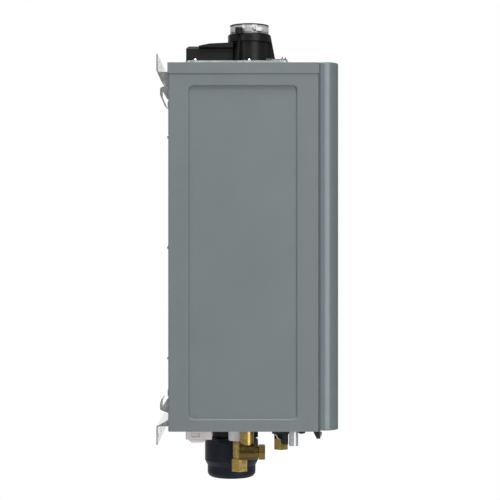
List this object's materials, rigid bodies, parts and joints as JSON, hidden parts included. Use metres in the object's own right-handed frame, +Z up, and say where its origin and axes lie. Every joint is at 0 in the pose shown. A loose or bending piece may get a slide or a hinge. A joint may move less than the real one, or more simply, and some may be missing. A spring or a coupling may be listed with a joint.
{
  "type": "tankless water heater",
  "caption": "Wall-hung condensing gas water heater: folded steel case, pull-off front cover with control panel, vent collars on top, water, gas and drain connections below.",
  "frame": {"origin": "middle of the upper wall bracket's row of holes, on the wall plane", "axes": "+Z up, +Y into the wall so the front faces -Y, +X to the right seen from the front"},
  "size_m": [0.445, 0.3539, 0.905],
  "materials": {
    "case_paint": "fine satin powder coat",
    "dark_paint": "dark passivated or painted metal",
    "zinc": "zinc plated sheet",
    "stainless": "polished",
    "black_plastic": "fine grain",
    "grey_plastic": "smooth",
    "pale_plastic": "smooth",
    "rubber": "matte",
    "brass": "cast and turned",
    "copper": "bright",
    "cast_aluminium": "cast",
    "window": "smoked",
    "circuit_board": "laminate"
  },
  "bodies": {
    "case": {"left_side_panel": "case_paint", "right_side_panel": "case_paint", "top_panel": "case_paint", "front_frame": "case_paint", "cover_catches": "dark_paint", "gas_inlet": "dark_paint", "rear_panel": "zinc", "bottom_panel": "zinc", "vent_seat_plate": "zinc", "top_wall_bracket": "zinc", "bottom_wall_bracket": "zinc", "wall_hooks": "zinc", "case_screws": "zinc", "vent_screws": "zinc", "exchanger_brackets": "zinc", "electronics_tray": "zinc", "combustion_chamber": "zinc", "blower_motor": "zinc", "vent_sleeves": "stainless", "vent_clamps": "stainless", "retaining_clip": "stainless", "secondary_heat_exchanger": "stainless", "secondary_tubes": "stainless", "burner": "stainless", "flue_hood": "stainless", "condensate_tube": "stainless", "vent_box": "black_plastic", "exhaust_collar": "black_plastic", "intake_collar": "black_plastic", "flow_sensor": "black_plastic", "blanking_plug": "black_plastic", "condensate_trap": "grey_plastic", "flange_clips": "grey_plastic", "filter_head": "grey_plastic", "inlet_nut": "pale_plastic", "cable_inlet": "pale_plastic", "vent_seals": "rubber", "inlet_valve": "brass", "gas_nut": "brass", "primary_heat_exchanger": "copper", "cold_pipe": "copper", "hot_pipe": "copper", "blower_housing": "cast_aluminium", "gas_valve": "cast_aluminium", "gas_pipe": "cast_aluminium", "control_board": "circuit_board"},
    "cover": {"front_cover": "case_paint", "cover_gasket": "rubber", "cover_screws": "zinc", "control_bezel": "black_plastic", "display_window": "window", "control_pcb": "circuit_board"},
    "power_key": {"power_key": "pale_plastic"},
    "up_key": {"up_key": "pale_plastic"},
    "down_key": {"down_key": "pale_plastic"},
    "blower_rotor": {"blower_wheel": "cast_aluminium"},
    "turbine": {"flow_turbine": "pale_plastic"},
    "bowl": {"filter_bowl": "black_plastic", "filter_cartridge": "pale_plastic"},
    "cap": {"drain_cap": "brass"}
  },
  "joints": [
    {"name": "cover_slide", "type": "slide", "parent": "case", "child": "cover", "axis": [0, -1, 0], "range_m": [0, 0.12]},
    {"name": "power_key_press", "type": "slide", "parent": "cover", "child": "power_key", "axis": [0, 1, 0], "range_m": [0, 0.0008], "stiffness_N_per_m": 400},
    {"name": "up_key_press", "type": "slide", "parent": "cover", "child": "up_key", "axis": [0, 1, 0], "range_m": [0, 0.0008], "stiffness_N_per_m": 400},
    {"name": "down_key_press", "type": "slide", "parent": "cover", "child": "down_key", "axis": [0, 1, 0], "range_m": [0, 0.0008], "stiffness_N_per_m": 400},
    {"name": "blower_spin", "type": "hinge", "parent": "case", "child": "blower_rotor", "pos_m": [0.03, -0.119, -0.595], "axis": [0, -1, 0], "continuous": true},
    {"name": "turbine_spin", "type": "hinge", "parent": "case", "child": "turbine", "pos_m": [-0.095, -0.1607, -0.653], "axis": [0, 0, 1], "continuous": true},
    {"name": "bowl_twist", "type": "hinge", "parent": "case", "child": "bowl", "pos_m": [0, -0.1436, -0.71], "axis": [0, 0, 1], "range_deg": [0, 60]},
    {"name": "cap_turn", "type": "hinge", "parent": "case", "child": "cap", "pos_m": [-0.136, -0.1981, -0.76], "axis": [0, -1, 0], "continuous": true}
  ]
}
